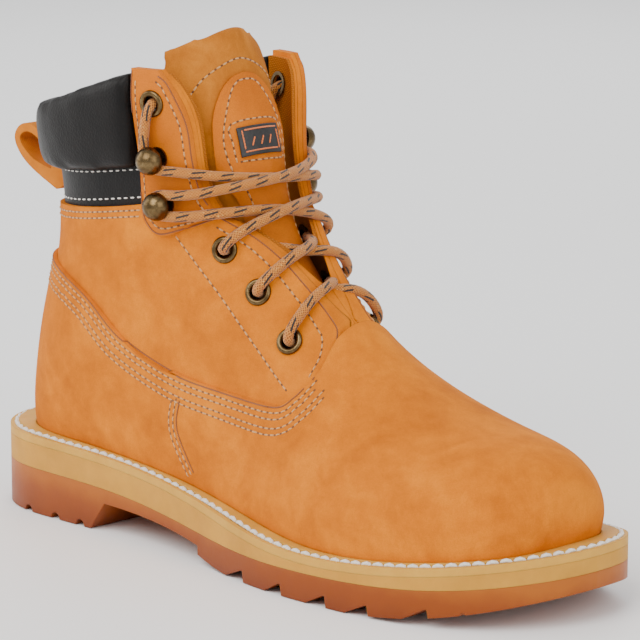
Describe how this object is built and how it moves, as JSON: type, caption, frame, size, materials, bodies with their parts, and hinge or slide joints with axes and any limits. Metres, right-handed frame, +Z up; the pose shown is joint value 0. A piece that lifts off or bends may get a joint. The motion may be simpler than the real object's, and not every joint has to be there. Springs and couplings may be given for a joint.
{
  "type": "steel toe work boot",
  "caption": "Ankle-high steel toe work boot in honey nubuck with a padded black collar, storm welt, gum outsole, hooks and round laces.",
  "frame": {"origin": "on the ground under the middle of the boot, halfway along its overall length and width", "axes": "+X towards the toe, +Y towards the inner (medial) side of this right boot, +Z up"},
  "size_m": [0.3215, 0.1131, 0.207],
  "materials": {
    "nubuck": "honey nubuck, soft mottled nap",
    "smooth_leather": "smooth honey leather, fine grain",
    "suede": "open suede",
    "collar_leather": "black padded collar leather, soft gloss",
    "lining": "brown knitted lining",
    "foam": "soft foam",
    "stiffener": "moulded heel stiffener",
    "board": "fibre board",
    "footbed": "fabric topped footbed",
    "cork": "granulated cork",
    "steel": "pressed steel",
    "gum": "translucent amber gum rubber, satin",
    "midsole": "beige rubber sidewall",
    "welt": "cream storm welt",
    "welt_thread": "white lock stitching",
    "rubber_black": "black moulded rubber",
    "webbing": "tan woven webbing",
    "antique_brass": "antique brass, worn edges",
    "lace": "round braided lace with dark flecks",
    "aglet": "clear brown lace tips"
  },
  "bodies": {
    "boot": {"aglets": "aglet", "backstay": "nubuck", "ball_hooks_lateral": "antique_brass", "ball_hooks_medial": "antique_brass", "collar_band": "collar_leather", "collar_cover": "collar_leather", "collar_foam": "foam", "collar_lining": "lining", "cork_filler": "cork", "counter_panel": "nubuck", "eyelet_washers_lateral": "antique_brass", "eyelet_washers_medial": "antique_brass", "eyelets_lateral": "antique_brass", "eyelets_medial": "antique_brass", "facing_lateral": "nubuck", "facing_medial": "nubuck", "footbed": "footbed", "heel_counter": "stiffener", "hook_panel_lateral": "smooth_leather", "hook_panel_medial": "smooth_leather", "hook_rivets_lateral": "antique_brass", "hook_rivets_medial": "antique_brass", "insole_board": "board", "lace": "lace", "loop_anchor": "webbing", "midsole": "midsole", "outsole": "gum", "quarter_lateral": "nubuck", "quarter_medial": "nubuck", "shaft_lining": "lining", "shank": "steel", "steel_toe_cap": "steel", "toe_cap_bumper": "rubber_black", "vamp": "nubuck", "vamp_lining": "lining", "welt": "welt", "welt_thread": "welt_thread"},
    "tongue": {"tongue_face": "suede", "tongue_foam": "foam", "tongue_label": "rubber_black", "tongue_lining": "lining", "tongue_overlay": "smooth_leather"},
    "pull_loop_body": {"pull_loop": "webbing"}
  },
  "joints": [
    {"name": "tongue_tilt", "type": "hinge", "parent": "boot", "child": "tongue", "pos_m": [0.0455, 0, 0.079], "axis": [0, 1, 0], "range_deg": [-6, 0], "stiffness_Nm_per_rad": 4},
    {"name": "pull_loop_swing", "type": "hinge", "parent": "boot", "child": "pull_loop_body", "pos_m": [-0.133, 0, 0.1378], "axis": [0, 1, 0], "range_deg": [-35, 15], "stiffness_Nm_per_rad": 0.05}
  ]
}
